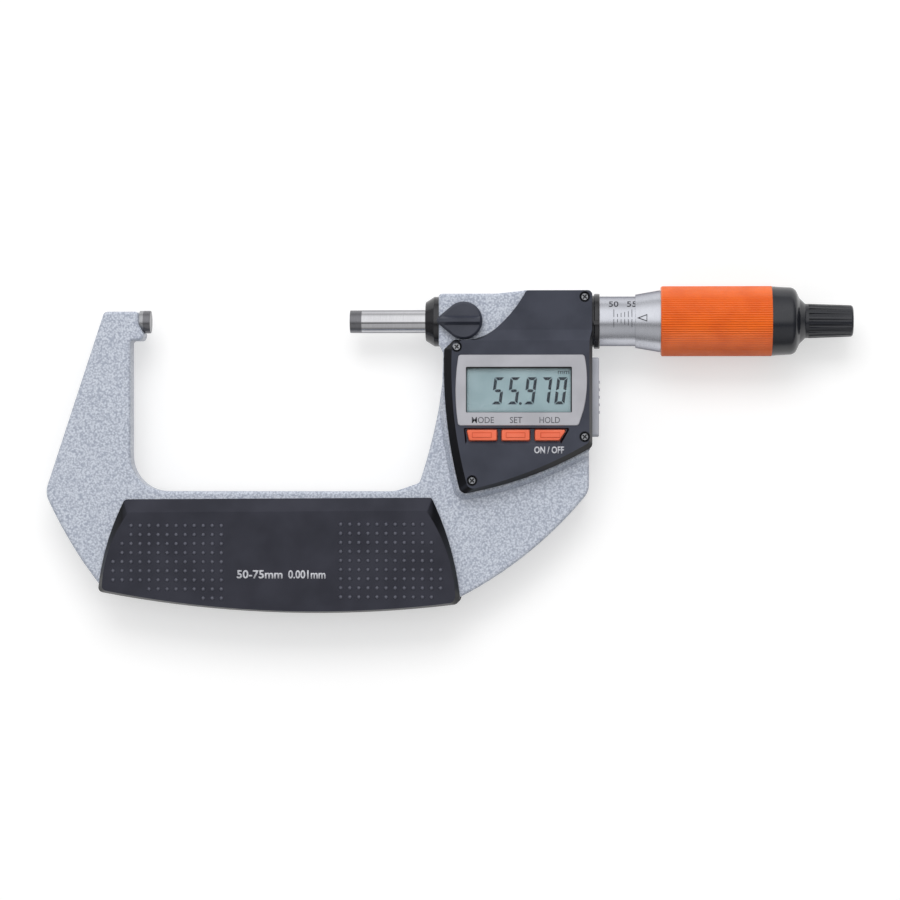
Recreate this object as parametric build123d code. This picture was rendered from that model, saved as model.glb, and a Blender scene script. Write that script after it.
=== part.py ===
from build123d import *
import os
from math import radians, tan

# Digital outside micrometer, 50 to 75 mm. Lengths are in millimetres, angles in degrees.
# X runs along the spindle from the anvil's measuring face (x = 0) to the thimble, Y is up across the
# display and Z points out of it. z = 0 is the spindle's axis.

# Measuring
READING = 55.97
SPINDLE_R = 3.175
FIT = 0.025            # running clearance of the spindle in its bores
SLIP = 0.05            # running clearance of the larger turning pieces
TIP_LENGTH = 3.3       # carbide face of the spindle
ANVIL_REACH = 3.05     # head of the anvil, out of the bow
ANVIL_TIP = 2.0
ANVIL_SHANK_R = 2.2
ANVIL_SHANK = 8.0

# Bow
BOW_HALF = 4.25
BOW_EDGE = 0.8
ARM_TOP = 2.8
ARM_TOP_LEFT = -12.7
ARM_INNER = -5.3
THROAT_FLOOR = -47.35
THROAT_R = 10.0
HEEL = (-29.35, -47.8)
HEEL_R = 6.0
BOW_RIGHT = 122.65
BOW_LOWEST = -80.8
POCKET_DEPTH = 2.2
POCKET_RIM = 4.5

# Hub
HUB_LEFT = 81.0
HUB_RIGHT = 123.4
HUB_HALF = 7.3
HUB_TOP_LEFT = 7.5
HUB_TOP_RIGHT = 8.4
PAD_SLOPE = 24.0
PAD_FOOT = 1.9         # how far the platform's foot stands out from the housing
REST_DEPTH = 10.2      # from the axis to the flat back that the instrument lies on
BACK_INSET = 3.0
BACK_SLOPE = 25.0

# Covers of the bow
COVER_THICK = 3.2
COVER_TOP_BEVEL = 3.6
COVER_SIDE_BEVEL = 1.3
COVER_BEVEL_DEPTH = 2.0

# Display housing
GASKET = 0.4
HOUSING_RIGHT = 123.6
HOUSING_TOP = 8.3
SHOULDER_Z = 9.1       # lower, upper part of the face
PLATEAU_Z = 10.8       # raised part of the face with the display
RAMP_TOP_Y = -2.6
RAMP_FOOT_Y = -5.6
LEFT_BEVEL = 2.2
BOTTOM_BEVEL = 1.25
RIGHT_BEVEL = 0.8
BEVEL_FOOT_Z = 8.9
CEILING_Z = 9.4
BEZEL_RECESS = 0.4
BEZEL_THICK = 0.6
WINDOW_LEFT = 88.7
WINDOW_RIGHT = 118.0
WINDOW_TOP = -12.85
WINDOW_BOTTOM = -25.5
WINDOW_THICK = 0.8
WINDOW_RIM = 0.6
WINDOW_RELIEF = 0.15   # hollow under the window, inside its rim
BOARD_THICK = 1.0
BOARD_Z = 6.0
BOARD_CLEAR = 0.3
BOARD_LEDGE = 1.5
BOARD_WELL_Z = 2.5
LCD_THICK = 2.2

# Buttons
BUTTON_TOP_Z = 11.3
BUTTON_TOP = -30.3
BUTTON_BOTTOM = -33.2
BUTTON_GAP = 0.25
BUTTON_PAD = (5.0, 1.1, 0.15)
KEY_POCKET_Z = 10.3    # floor of the shallow pocket round the three keys
BUTTON_FLANGE = 0.5
FLANGE_THICK = 0.8
FLANGE_GAP = 0.2
DOME_R = 1.5
BUTTONS = {            # left and right ends, how far the lower corners are drawn in at the left and right
    "mode": (88.95, 97.25, 0.7, 0.0),
    "set": (98.6, 106.3, 0.0, 0.0),
    "hold": (107.8, 116.45, 0.0, 2.0),
}

# Housing screws
SCREW_PLACES = [(121.5, 6.5), (86.15, -7.3), (121.5, -32.2), (90.4, -44.3)]
SCREW_HEAD_R = 1.15
SCREW_SINK_R = 1.5
SCREW_SHANK_R = 0.7
SCREW_HEAD = 0.9
SCREW_DEPTH = 4.0
SCREW_RECESS = 1.3
CROSS_SLOT = (1.5, 0.4, 0.9)
CROSS_TURN = 50.0

# Clamp
CLAMP_X = 88.0
LEVER_R = 5.2
LEVER_REACH = 6.2
LEVER_TIP_R = 1.2
LEVER_GAP = 0.15
LEVER_TOP_Z = 10.2
LEVER_RIM = 0.6
RIDGE_TOP_Z = 11.5
RIDGE_HALF = 1.65
RIDGE_CREST_HALF = 0.45
LEVER_SOCKET = 1.6
CLAMP_SHAFT_R = 2.4
PLUG_R = 1.8
PLUG_TOP_Z = 4.6

# Nose ring and wiper
NOSE_LENGTH = 3.85
NOSE_FACE_R = 5.4
NOSE_R = 6.95
NOSE_CONE = 2.45
NOSE_SPIGOT = 2.5
NOSE_SPIGOT_R = 5.2
NOSE_CLEAR = 0.25
WIPER_R = 4.4
WIPER_LENGTH = 2.2

# Encoder
CAVITY_R = 6.3
CAVITY_LEFT = 97.0
STATOR_X = 98.2
DISC_THICK = 1.0
STATOR_BORE_R = 4.2
DISC_GAP = 0.4
ROTOR_R = 6.0
BUSH_R = 4.6
BUSH_LENGTH = 11.0
KEY_X = 106.0
KEY_WIDTH = 1.2
KEY_DEPTH = 1.0
GROOVE_LEFT = 85.5
GROOVE_RIGHT = 113.5

# Stem, sleeve and thimble
STEM_LEFT = 112.6
STEM_R = 6.2
STEM_BORE_R = 4.2
STEM_RIGHT = 161.2
NUT_LEFT = 157.6
NUT_SEAT_R = 5.4
NUT_R = 6.7
THREAD_R = 3.8
THREAD_LEFT = 131.0
NUT_THREAD_LEFT = 143.0
COLLAR_RIGHT = 124.0
COLLAR_R = 7.2
RING_RIGHT = 125.6
RING_R = 7.7
RING_NOTCH = (-1.15, 0.0)  # notch for a spanner, its two ends along Y
RING_NOTCH_DEPTH = 0.9
SLEEVE_R = 6.9
SLEEVE_RIGHT = 157.2
THIMBLE_LIP = 135.5
THIMBLE_LIP_R = 7.42
THIMBLE_BORE_R = 7.0
CONE_RIGHT = 142.3
CONE_R = 8.62
THIMBLE_TUBE_R = 8.45
END_WALL = 167.5
THIMBLE_RIGHT = 170.3
SPINDLE_BOSS_R = 3.0
GRIP_LEFT = 142.55
GRIP_RIGHT = 173.3
GRIP_R = 9.75
GRIP_CHAMFER = 0.35
GRIP_FLUTES = 90
FLUTE_DEPTH = 0.18
RING_THICK = 0.9
GRIP_RING_R = 9.62

# End cap and knob
CAP_R = 9.58
CAP_SHOULDER = 179.7
CAP_ROUNDING = 2.2
KNOB_LEFT = 182.6
KNOB_RIGHT = 195.9
KNOB_R = 4.65
KNOB_END_R = 4.35
KNOB_FLUTES = 18
KNOB_FLUTE_R = 0.5
CAP_BORE_R = 7.0
CAP_POCKET_R = 4.5
CAP_POCKET_RIGHT = 181.9
SPIGOT = 2.8

# Ratchet
RATCHET_R = 6.5
RATCHET_SINK = 0.8
TEETH = 12
TOOTH_HEIGHT = 0.7
TOOTH_GAP = 0.05
DRIVEN_THICK = 2.0
DRIVING_THICK = 2.05
SPRING_LENGTH = 3.6
SPRING_R = 4.6
SPRING_WIRE_R = 0.4
SPRING_TURNS = 2.5
SEAT_THICK = 0.9
SHOULDER_R = 2.5
SCREW_THREAD_R = 1.5
SCREW_THREAD = 8.0
HEAD_R = 4.0
HEAD_THICK = 1.7
HEAD_GAP = 0.2
DRIVING_LEFT = THIMBLE_RIGHT - RATCHET_SINK + DRIVEN_THICK + 2 * TOOTH_HEIGHT + TOOTH_GAP
SPRING_LEFT = DRIVING_LEFT + DRIVING_THICK
SEAT_LEFT = SPRING_LEFT + SPRING_LENGTH
HEAD_LEFT = SEAT_LEFT + SEAT_THICK + HEAD_GAP

# Battery
BATTERY_PLACE = (103.0, -21.0)
BATTERY_R = 5.8
BATTERY_TALL = 5.4
BATTERY_CLEAR = 0.3
CONTACT_THICK = 0.4
CAP_THREAD_R = 7.0
CAP_THREAD = 1.0
DOOR_R = 8.0
DOOR_FLUSH = 0.1
DOOR_THICK = 0.9
SEAL_R = 0.5
SEAL_CLEAR = 0.04
COIN_SLOT = (11.0, 1.6, 0.9)
LEAD_R = 1.2
DOOR_SEAT_Z = -REST_DEPTH + DOOR_FLUSH + DOOR_THICK + 2 * SEAL_R
BATTERY_TOP_Z = DOOR_SEAT_Z + CAP_THREAD + BATTERY_TALL

# Connector cover on the right side
CONNECTOR_Y = -21.2
CONNECTOR_TALL = 22.0
CONNECTOR_WIDE = 7.6
CONNECTOR_THICK = 2.0
CONNECTOR_Z = 2.2
CONNECTOR_RIBS = 5
CONNECTOR_RIB_PITCH = 2.1
CONNECTOR_SCREW_PITCH = 17.6


def outline(*corners):
    """Closed face. A corner is (x, y) or (x, y, rounding); (via, corner) comes by an arc through via."""
    ends = [corner[1] if isinstance(corner[0], tuple) else corner for corner in corners]
    edges = []
    for number, corner in enumerate(corners):
        start, end = ends[number - 1][:2], ends[number][:2]
        if isinstance(corner[0], tuple):
            edges.append(ThreePointArc(start, corner[0], end))
        else:
            edges.append(Line(start, end))
    face = make_face(edges)
    for end in ends:
        if len(end) == 3:
            vertex = face.vertices().sort_by_distance(end[:2])[0]
            face = fillet(vertex, end[2])
    return face


def prism(face, low, high):
    """The face, pulled along Z from low to high."""
    return Pos(0, 0, low) * extrude(face, high - low)


def turned(*corners):
    """Solid turned about the spindle's axis; each corner is (x, radius) or (x, radius, rounding)."""
    return revolve(outline(*corners), Axis.X)


def rod(left, right, radius, bore=0.0):
    """Plain cylinder or tube on the spindle's axis."""
    solid = Pos((left + right) / 2, 0, 0) * Rot(0, 90, 0) * Cylinder(radius, right - left)
    if bore:
        solid -= Pos((left + right) / 2, 0, 0) * Rot(0, 90, 0) * Cylinder(bore, right - left)
    return solid


def post(place, low, high, radius):
    """Cylinder along Z."""
    return Pos(place[0], place[1], (low + high) / 2) * Cylinder(radius, high - low)


def block(x, y, z):
    """Box given by its two ends along each axis."""
    size = [axis[1] - axis[0] for axis in (x, y, z)]
    centre = [(axis[1] + axis[0]) / 2 for axis in (x, y, z)]
    return Pos(*centre) * Box(*size)


# Bow

def bow_outline():
    return outline(
        (ARM_TOP_LEFT, ARM_TOP, 1.2),
        (-ANVIL_REACH, ARM_TOP, 1.0),
        (-ANVIL_REACH, -0.8, 3.0),
        (-1.5, -3.6, 1.0),
        (-2.0, -5.3, 1.0),
        (ARM_INNER, -5.3, 0.8),
        (ARM_INNER, THROAT_FLOOR, THROAT_R),
        (68.6, THROAT_FLOOR, 8.0),
        (75.5, -45.0, 1.6),
        ((80.1, -28.2), (82.1, -16.6)),
        (82.3, -9.0, 2.0),
        (HUB_LEFT, -6.6, 1.0),
        (HUB_LEFT, HUB_TOP_LEFT, 1.0),
        (97.0, HUB_TOP_LEFT, 8.0),
        (105.5, HUB_TOP_RIGHT, 8.0),
        (HUB_RIGHT, HUB_TOP_RIGHT, 1.0),
        (HUB_RIGHT, -34.6, 1.0),
        (BOW_RIGHT, -36.0, 1.0),
        (BOW_RIGHT, -47.4, 5.5),
        ((106.4, -63.9), (85.6, -77.4, 3.0)),
        ((40.0, BOW_LOWEST), (-13.0, -74.9, 2.0)),
        (-18.6, -67.2, 30.0),
        ((-24.4, -57.7), (*HEEL, HEEL_R)),
    )


def cover_outline(top=0.0, side=0.0, bottom=0.0):
    return outline(
        ((-11.8 + side, -62.5), (-6.7 + side, -49.6 - top, 1.2)),
        (78.9 - side, -49.1 - top, 0.8),
        ((84.2 - side, -63.0), (87.0 - side, -78.6 + bottom, 2.0)),
        ((42.0, -81.15 + bottom), (-14.2 + side, -75.3 + bottom, 1.4)),
    )


def housing_outline(left=0.0, bottom=0.0, right=0.0):
    return outline(
        ((83.4 + left, -28.0), (82.6 + left, -8.0, 0.6)),
        (85.3 + left, -5.4, 1.0),
        (89.4 + left, -5.4),
        ((93.9 + left / 2, -4.1), (98.0, -1.25)),
        ((102.7, 4.0), (105.4, HOUSING_TOP, 1.0)),
        (HOUSING_RIGHT - right, HOUSING_TOP, 1.3),
        (HOUSING_RIGHT - right, -35.0 + bottom, 1.6),
        ((104.0, -43.9 + bottom), (87.2 + left, -48.1 + bottom, 1.9)),
    )


def back_outline():
    """Flat back of the hub, which the instrument lies on."""
    return outline(
        (HUB_LEFT + BACK_INSET, 4.6, 1.5), (HUB_RIGHT - BACK_INSET, 4.6, 1.5),
        (HUB_RIGHT - BACK_INSET, -33.4, 2.0), ((104.5, -40.6), (89.6, -43.8, 2.0)),
        ((86.0, -28.0), (86.0, -9.0)), (HUB_LEFT + BACK_INSET, -5.0, 1.0),
    )


def hub_outline():
    return outline(
        (HUB_LEFT, HUB_TOP_LEFT, 1.0),
        (97.0, HUB_TOP_LEFT, 8.0),
        (105.5, HUB_TOP_RIGHT, 8.0),
        (HUB_RIGHT, HUB_TOP_RIGHT, 1.0),
        (HUB_RIGHT, -9.0),
        (82.3, -9.0, 2.0),
        (HUB_LEFT, -6.6, 1.0),
    )


def frame():
    shape = bow_outline()
    bow = prism(shape, -BOW_HALF, BOW_HALF)
    rims = bow.faces().sort_by(Axis.Z)[-1].edges() + bow.faces().sort_by(Axis.Z)[0].edges()
    bow = fillet(rims, BOW_EDGE)
    hub = prism(hub_outline(), -HUB_HALF, HUB_HALF)
    rims = hub.faces().sort_by(Axis.Z)[-1].edges() + hub.faces().sort_by(Axis.Z)[0].edges()
    hub = fillet(rims, BOW_EDGE)
    rise = HUB_HALF - BOW_HALF
    pad = Pos(0, 0, BOW_HALF) * extrude(
        offset(housing_outline(), PAD_FOOT), rise, taper=PAD_SLOPE)
    pad += prism(offset(housing_outline(), PAD_FOOT), 0, BOW_HALF)
    back = Pos(0, 0, -REST_DEPTH) * extrude(back_outline(), REST_DEPTH - 1.0, taper=-BACK_SLOPE)
    solid = bow + hub + ((pad + back) & prism(shape, -REST_DEPTH - 1, HUB_HALF + 1))
    return solid - frame_bores() - frame_pockets()


def frame_bores():
    """Everything bored along the spindle's axis, and the clamp's cross bore."""
    cuts = rod(-ANVIL_REACH - ANVIL_SHANK, 0, ANVIL_SHANK_R)
    cuts += rod(-ANVIL_REACH, 1.0, SPINDLE_R + FIT)
    cuts += rod(HUB_LEFT - 1, CAVITY_LEFT + 1, SPINDLE_R + FIT)
    cuts += rod(CAVITY_LEFT, HUB_RIGHT + 1, CAVITY_R)
    cuts += rod(HUB_LEFT - 1, HUB_LEFT + NOSE_SPIGOT, NOSE_SPIGOT_R)
    cuts += post((CLAMP_X, 0), 0, HUB_HALF + 1, CLAMP_SHAFT_R + SLIP)
    return cuts


def frame_pockets():
    """Recesses under the covers, the board's pocket, the battery's bore and the screw holes."""
    hollow = cover_outline(POCKET_RIM, POCKET_RIM, POCKET_RIM)
    cuts = prism(hollow, BOW_HALF - POCKET_DEPTH, BOW_HALF + 1)
    cuts += prism(hollow, -BOW_HALF - 1, -BOW_HALF + POCKET_DEPTH)
    cuts += prism(board_outline(BOARD_CLEAR), BOARD_Z, HUB_HALF + 1)
    cuts += prism(board_outline(-BOARD_LEDGE), BOARD_WELL_Z, HUB_HALF + 1)
    cuts += post(BATTERY_PLACE, -REST_DEPTH - 1, DOOR_SEAT_Z, DOOR_R + SLIP)
    cuts += post(BATTERY_PLACE, -REST_DEPTH, DOOR_SEAT_Z + CAP_THREAD, CAP_THREAD_R + SLIP)
    cuts += post(BATTERY_PLACE, -REST_DEPTH, BATTERY_TOP_Z + CONTACT_THICK, BATTERY_R + BATTERY_CLEAR)
    cuts += post(BATTERY_PLACE, BATTERY_TOP_Z, BOARD_WELL_Z + 1, LEAD_R)
    for place in SCREW_PLACES:
        cuts += post(place, HUB_HALF - SCREW_DEPTH, HUB_HALF + 1, SCREW_SHANK_R)
    for side in (-1, 1):
        y = CONNECTOR_Y + side * CONNECTOR_SCREW_PITCH / 2
        cuts += Pos(HUB_RIGHT, y, CONNECTOR_Z) * Rot(0, 90, 0) * Cylinder(SCREW_SHANK_R, 2 * SCREW_DEPTH)
    return cuts


def board_outline(grow=0.0):
    left, right, top, bottom = 87.0 - grow, 119.4 + grow, -9.6 + grow, -33.2 - grow
    return outline((left, top, 1.5), (right, top, 1.5), (right, bottom, 1.5), (left, bottom, 1.5))


def anvil():
    return (rod(-ANVIL_REACH - ANVIL_SHANK, -ANVIL_REACH, ANVIL_SHANK_R)
            + rod(-ANVIL_REACH, -ANVIL_TIP, SPINDLE_R))


def anvil_tip():
    return turned((-ANVIL_TIP, 0), (-ANVIL_TIP, SPINDLE_R), (0, SPINDLE_R, 0.15), (0, 0))


def nose_ring():
    left = HUB_LEFT - NOSE_LENGTH
    return turned(
        (left, SPINDLE_R + NOSE_CLEAR), (left, NOSE_FACE_R, 0.3), (left + NOSE_CONE, NOSE_R, 0.3),
        (HUB_LEFT, NOSE_R), (HUB_LEFT, NOSE_SPIGOT_R), (HUB_LEFT + NOSE_SPIGOT, NOSE_SPIGOT_R),
        (HUB_LEFT + NOSE_SPIGOT, SPINDLE_R + NOSE_CLEAR), (HUB_LEFT, SPINDLE_R + NOSE_CLEAR), (HUB_LEFT, WIPER_R),
        (HUB_LEFT - WIPER_LENGTH, WIPER_R), (HUB_LEFT - WIPER_LENGTH, SPINDLE_R + NOSE_CLEAR),
    )


def spindle_wiper():
    return rod(HUB_LEFT - WIPER_LENGTH, HUB_LEFT, WIPER_R, SPINDLE_R + SLIP)


def bow_cover():
    """Front cover: a moulded plate with a wide bevel along its top edge."""
    top = BOW_HALF + COVER_THICK
    foot = top - COVER_BEVEL_DEPTH
    plate = prism(cover_outline(), BOW_HALF, foot)
    face = cover_outline(COVER_TOP_BEVEL, COVER_SIDE_BEVEL, 0.5)
    return plate + loft([Pos(0, 0, foot) * cover_outline(), Pos(0, 0, top) * face], ruled=True)


# Display housing

def housing_cavity(low, high, grow=0.0):
    left, right, top, bottom = 85.9 - grow, 120.9 + grow, -8.8 + grow, -34.4 - grow
    shape = outline((left, top, 1.5), (right, top, 1.5), (right, bottom, 1.5), (left, bottom, 1.5))
    room = prism(shape, low, high)
    for place in SCREW_PLACES:
        room -= post(place, low - 1, high + 1, SCREW_SINK_R + 0.5)
    return room


def button_outline(name, grow=0.0):
    left, right, left_in, right_in = BUTTONS[name]
    return outline(
        (left - grow, BUTTON_TOP + grow, 0.4), (right + grow, BUTTON_TOP + grow, 0.4),
        (right - right_in + grow, BUTTON_BOTTOM - grow, 0.5),
        (left + left_in - grow, BUTTON_BOTTOM - grow, 0.5),
    )


def bezel_outline(grow=0.0):
    return outline(
        ((85.85 - grow, -18.5), (86.7 - grow, -9.55 + grow, 0.8)), (121.4 + grow, -9.55 + grow, 0.9),
        ((122.15 + grow, -16.5), (121.2 + grow, -24.8, 3.0)), (119.8 + grow, -29.1 - grow, 1.0),
        (86.6 - grow, -29.1 - grow, 0.8),
    )


def key_pocket():
    """Shallow pocket that the three keys stand in, with a wide slope along its lower side."""
    floor = outline((88.5, -30.0, 0.4), (116.95, -30.0, 0.4), (114.7, -33.55, 0.4), (88.95, -33.55, 0.4))
    mouth = outline((88.1, -29.75, 0.4), (117.5, -29.75, 0.4), (114.9, -34.35, 0.4), (88.6, -34.35, 0.4))
    return loft([Pos(0, 0, KEY_POCKET_Z) * floor, Pos(0, 0, PLATEAU_Z) * mouth], ruled=True)


def window_block(low, high, grow=0.0):
    shape = outline(
        (WINDOW_LEFT - grow, WINDOW_TOP + grow, 0.4), (WINDOW_RIGHT + grow, WINDOW_TOP + grow, 0.4),
        (WINDOW_RIGHT + grow, WINDOW_BOTTOM - grow, 0.4), (WINDOW_LEFT - grow, WINDOW_BOTTOM - grow, 0.4))
    return prism(shape, low, high)


def display_housing():
    base = HUB_HALF + GASKET
    solid = prism(housing_outline(), base, BEVEL_FOOT_Z)
    face = housing_outline(LEFT_BEVEL, BOTTOM_BEVEL, RIGHT_BEVEL)
    solid += loft([Pos(0, 0, BEVEL_FOOT_Z) * housing_outline(), Pos(0, 0, PLATEAU_Z) * face], ruled=True)
    ramp = Plane.YZ * make_face(Polyline(
        (RAMP_FOOT_Y, PLATEAU_Z), (RAMP_TOP_Y, SHOULDER_Z), (HOUSING_TOP + 1, SHOULDER_Z),
        (HOUSING_TOP + 1, PLATEAU_Z + 1), (RAMP_FOOT_Y, PLATEAU_Z + 1), close=True))
    solid -= Pos(HUB_LEFT, 0, 0) * extrude(ramp, HOUSING_RIGHT - HUB_LEFT + 2)
    solid -= housing_cavity(base - 1, CEILING_Z)
    solid -= prism(bezel_outline(0.05), PLATEAU_Z - BEZEL_RECESS, PLATEAU_Z + 1)
    solid -= window_block(base, PLATEAU_Z + 1)
    solid -= key_pocket()
    for name in BUTTONS:
        solid -= prism(button_outline(name, BUTTON_GAP), base, PLATEAU_Z + 1)
    for place in SCREW_PLACES:
        solid -= post(place, screw_seat(place), PLATEAU_Z + 1, SCREW_SINK_R)
        solid -= post(place, base - 1, PLATEAU_Z, SCREW_SHANK_R + 0.1)
    return solid


def screw_seat(place):
    """Height of the counterbore's floor; the upper screw sits in the lower part of the face."""
    face = SHOULDER_Z if place[1] > RAMP_TOP_Y else PLATEAU_Z
    return face - SCREW_RECESS


def housing_screws():
    screws = []
    for place in SCREW_PLACES:
        seat = screw_seat(place)
        head = post(place, seat, seat + SCREW_HEAD, SCREW_HEAD_R)
        head = chamfer(head.faces().sort_by(Axis.Z)[-1].edges(), 0.25)
        for turn in (CROSS_TURN, CROSS_TURN + 90):
            head -= Pos(*place, seat + SCREW_HEAD) * Rot(0, 0, turn) * Box(*CROSS_SLOT)
        screws.append(head + post(place, HUB_HALF - SCREW_DEPTH, seat, SCREW_SHANK_R))
    return screws


def display_gasket():
    plate = prism(offset(housing_outline(), -0.4), HUB_HALF, HUB_HALF + GASKET)
    plate -= housing_cavity(HUB_HALF - 1, HUB_HALF + 2, 0.1)
    for place in SCREW_PLACES:
        plate -= post(place, 0, PLATEAU_Z, SCREW_SHANK_R + 0.1)
    return plate


def bezel():
    low = PLATEAU_Z - BEZEL_RECESS
    plate = prism(bezel_outline(), low, low + BEZEL_THICK)
    plate = chamfer(plate.faces().sort_by(Axis.Z)[-1].edges(), 0.15)
    return plate - window_block(low - 1, low + 2)


def lcd_panel():
    low = BOARD_Z + BOARD_THICK
    return block((WINDOW_LEFT - 0.7, WINDOW_RIGHT + 0.7), (WINDOW_BOTTOM - 0.7, WINDOW_TOP + 0.7),
                 (low, low + LCD_THICK))


def display_window():
    low = BOARD_Z + BOARD_THICK + LCD_THICK
    pane = window_block(low, low + WINDOW_THICK, -0.05)
    return pane - window_block(low - 1, low + WINDOW_RELIEF, -WINDOW_RIM)


def main_board():
    return prism(board_outline(), BOARD_Z, BOARD_Z + BOARD_THICK)


def button(name):
    """Cap with a low pad to press on and a flange that keeps it in the housing."""
    left, right = BUTTONS[name][:2]
    flange_top = CEILING_Z - FLANGE_GAP
    flange = prism(button_outline(name, BUTTON_FLANGE), flange_top - FLANGE_THICK, flange_top)
    cap = prism(button_outline(name), flange_top, BUTTON_TOP_Z)
    cap = fillet(cap.faces().sort_by(Axis.Z)[-1].edges(), 0.2)
    pad = Pos((left + right) / 2, (BUTTON_TOP + BUTTON_BOTTOM) / 2, BUTTON_TOP_Z) * Box(
        BUTTON_PAD[0], BUTTON_PAD[1], 2 * BUTTON_PAD[2])
    return flange + cap + pad


def button_dome(name):
    left, right = BUTTONS[name][:2]
    place = ((left + right) / 2, (BUTTON_TOP + BUTTON_BOTTOM) / 2)
    return post(place, BOARD_Z + BOARD_THICK, CEILING_Z - FLANGE_GAP - FLANGE_THICK, DOME_R)


# Clamp

def clamp_lever():
    low = HUB_HALF + LEVER_GAP
    shape = make_hull(Circle(LEVER_R).edges() + (Pos(-LEVER_REACH, 0) * Circle(LEVER_TIP_R)).edges())
    body = prism(shape, low, LEVER_TOP_Z)
    body = chamfer(body.faces().sort_by(Axis.Z)[-1].edges(), LEVER_RIM)
    ridge = Plane.YZ * make_face(Polyline(
        (-RIDGE_HALF, LEVER_TOP_Z - LEVER_RIM), (-RIDGE_CREST_HALF, RIDGE_TOP_Z), (RIDGE_CREST_HALF, RIDGE_TOP_Z),
        (RIDGE_HALF, LEVER_TOP_Z - LEVER_RIM), close=True))
    ridge = Pos(-LEVER_REACH - LEVER_TIP_R, 0, 0) * extrude(ridge, LEVER_REACH + LEVER_TIP_R + LEVER_R)
    body += ridge & prism(offset(shape, -LEVER_RIM), low, RIDGE_TOP_Z + 1)
    body -= post((0, 0), low - 1, low + LEVER_SOCKET, CLAMP_SHAFT_R)
    return Pos(CLAMP_X, 0, 0) * body


def clamp_shaft():
    return post((CLAMP_X, 0), PLUG_TOP_Z, HUB_HALF + LEVER_GAP + LEVER_SOCKET, CLAMP_SHAFT_R)


def clamp_plug():
    plug = post((CLAMP_X, 0), 1.0, PLUG_TOP_Z, PLUG_R)
    return plug - rod(CLAMP_X - 5, CLAMP_X + 5, SPINDLE_R + SLIP)


# Encoder

def stator_disc():
    return rod(STATOR_X, STATOR_X + DISC_THICK, CAVITY_R, STATOR_BORE_R)


def rotor_disc():
    left = STATOR_X + DISC_THICK + DISC_GAP
    return rod(left, left + DISC_THICK, ROTOR_R, SPINDLE_R + SLIP)


def rotor_bush():
    left = STATOR_X + 2 * DISC_THICK + DISC_GAP
    bush = rod(left, left + BUSH_LENGTH, BUSH_R, SPINDLE_R + SLIP)
    return bush - key_pin(0.0)


def key_pin(foot):
    """Round pin that stands in the bush, from foot above the axis outwards."""
    return post((KEY_X, 0), foot, BUSH_R - 0.1, KEY_WIDTH / 2 - SLIP)


def rotor_key():
    return key_pin(SPINDLE_R - KEY_DEPTH + 0.2)


# Spindle and thimble

def spindle():
    body = rod(READING + TIP_LENGTH, THREAD_LEFT, SPINDLE_R)
    body += turned((THREAD_LEFT, 0), (THREAD_LEFT, SPINDLE_R), (THREAD_LEFT + 0.6, THREAD_R),
                   (END_WALL, THREAD_R), (END_WALL, 0))
    body += rod(END_WALL, THIMBLE_RIGHT - RATCHET_SINK, SPINDLE_BOSS_R)
    body -= rod(THIMBLE_RIGHT - RATCHET_SINK - SCREW_THREAD, THIMBLE_RIGHT, SCREW_THREAD_R)
    groove = block((GROOVE_LEFT, GROOVE_RIGHT), (-KEY_WIDTH / 2, KEY_WIDTH / 2),
                   (SPINDLE_R - KEY_DEPTH, SPINDLE_R + 1))
    return body - groove


def spindle_tip():
    return turned((READING, 0), (READING, SPINDLE_R, 0.15), (READING + TIP_LENGTH, SPINDLE_R),
                  (READING + TIP_LENGTH, 0))


def inner_sleeve():
    """Threaded stem: pressed into the hub, it carries the sleeve outside and the spindle's nut inside."""
    body = rod(STEM_LEFT, HUB_RIGHT, CAVITY_R)
    body += rod(HUB_RIGHT, NUT_LEFT, STEM_R) + rod(NUT_LEFT, STEM_RIGHT, NUT_SEAT_R)
    body -= rod(STEM_LEFT, NUT_THREAD_LEFT, STEM_BORE_R)
    return body - rod(NUT_THREAD_LEFT, STEM_RIGHT, THREAD_R + FIT)


def adjusting_nut():
    return rod(NUT_LEFT, STEM_RIGHT, NUT_R, NUT_SEAT_R)


def sleeve_collar():
    return rod(HUB_RIGHT, COLLAR_RIGHT, COLLAR_R, STEM_R)


def lock_ring():
    ring = turned((COLLAR_RIGHT, STEM_R), (COLLAR_RIGHT, RING_R, 0.3), (RING_RIGHT, RING_R, 0.3),
                  (RING_RIGHT, STEM_R))
    return ring - block((COLLAR_RIGHT - 1, RING_RIGHT + 1), RING_NOTCH, (RING_R - RING_NOTCH_DEPTH, RING_R + 1))


def sleeve():
    return rod(RING_RIGHT, SLEEVE_RIGHT, SLEEVE_R, STEM_R)


def thimble():
    return turned(
        (THIMBLE_LIP, THIMBLE_BORE_R), (THIMBLE_LIP, THIMBLE_LIP_R), (CONE_RIGHT, CONE_R),
        (CONE_RIGHT, THIMBLE_TUBE_R), (THIMBLE_RIGHT, THIMBLE_TUBE_R), (THIMBLE_RIGHT, RATCHET_R + FIT),
        (THIMBLE_RIGHT - RATCHET_SINK, RATCHET_R + FIT),
        (THIMBLE_RIGHT - RATCHET_SINK, SPINDLE_BOSS_R + FIT),
        (END_WALL, SPINDLE_BOSS_R + FIT), (END_WALL, THIMBLE_BORE_R),
    )


def ratchet_disc(left, thick, sign):
    """Disc with saw teeth on the side that sign points to: each gap drops steeply and climbs gently."""
    face = left + thick if sign > 0 else left
    tip = face + sign * TOOTH_HEIGHT
    disc = rod(min(left, tip), max(left + thick, tip), RATCHET_R, SHOULDER_R + FIT)
    width = 2 * RATCHET_R * tan(radians(180 / TEETH))
    above = tip + sign * TOOTH_GAP
    gap = extrude(make_face(Polyline((face, 0), (above, 0), (above, width), close=True)), RATCHET_R + 1)
    for number in range(TEETH):
        disc -= Rot(number * 360 / TEETH, 0, 0) * gap
    return disc


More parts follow.
